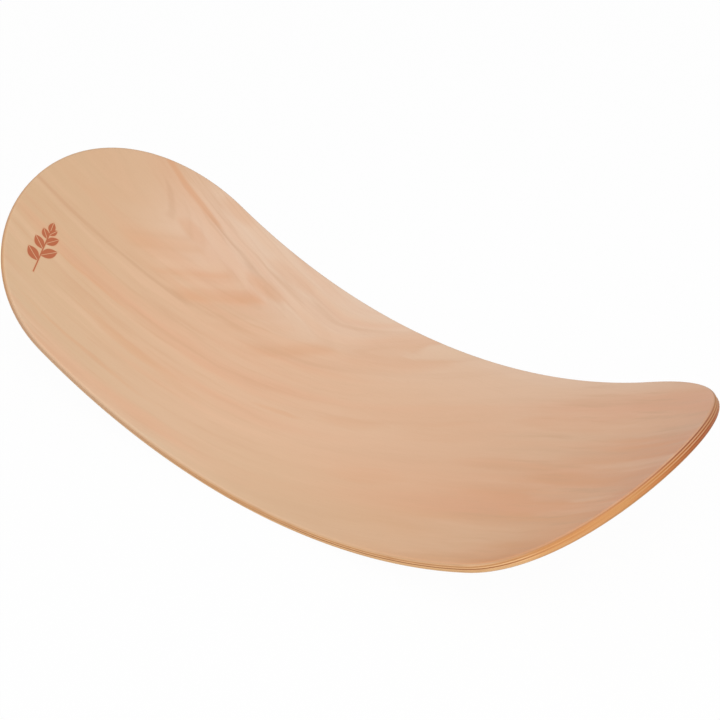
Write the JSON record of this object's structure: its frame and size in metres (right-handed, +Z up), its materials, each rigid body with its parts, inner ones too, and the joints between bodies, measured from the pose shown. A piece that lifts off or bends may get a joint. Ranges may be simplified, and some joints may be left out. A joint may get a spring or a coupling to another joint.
{
  "type": "rocker balance board",
  "caption": "Bent plywood rocker board with half-round ends that a child stands, sits or lies on and rocks like a seesaw.",
  "frame": {"origin": "middle of the lowest line of the round underside, which touches the floor when the board stands level", "axes": "+X along the board towards one tip, +Y across the board, +Z up, away from the floor"},
  "size_m": [0.7614, 0.3, 0.1639],
  "materials": {
    "face_sheet": "satin clear lacquer on beech, grain along the board",
    "long_sheet": "lacquered edge of beech with the grain along the board",
    "cross_sheet": "lacquered edge of beech with the grain across the board, darker where the end grain shows",
    "back_sheet": "satin clear lacquer on beech, grain along the board"
  },
  "bodies": {
    "root": {"face_veneer": "face_sheet", "long_ply_1": "long_sheet", "cross_ply_1": "cross_sheet", "long_ply_2": "long_sheet", "centre_ply": "cross_sheet", "long_ply_3": "long_sheet", "cross_ply_2": "cross_sheet", "long_ply_4": "long_sheet", "back_veneer": "back_sheet"}
  },
  "joints": []
}
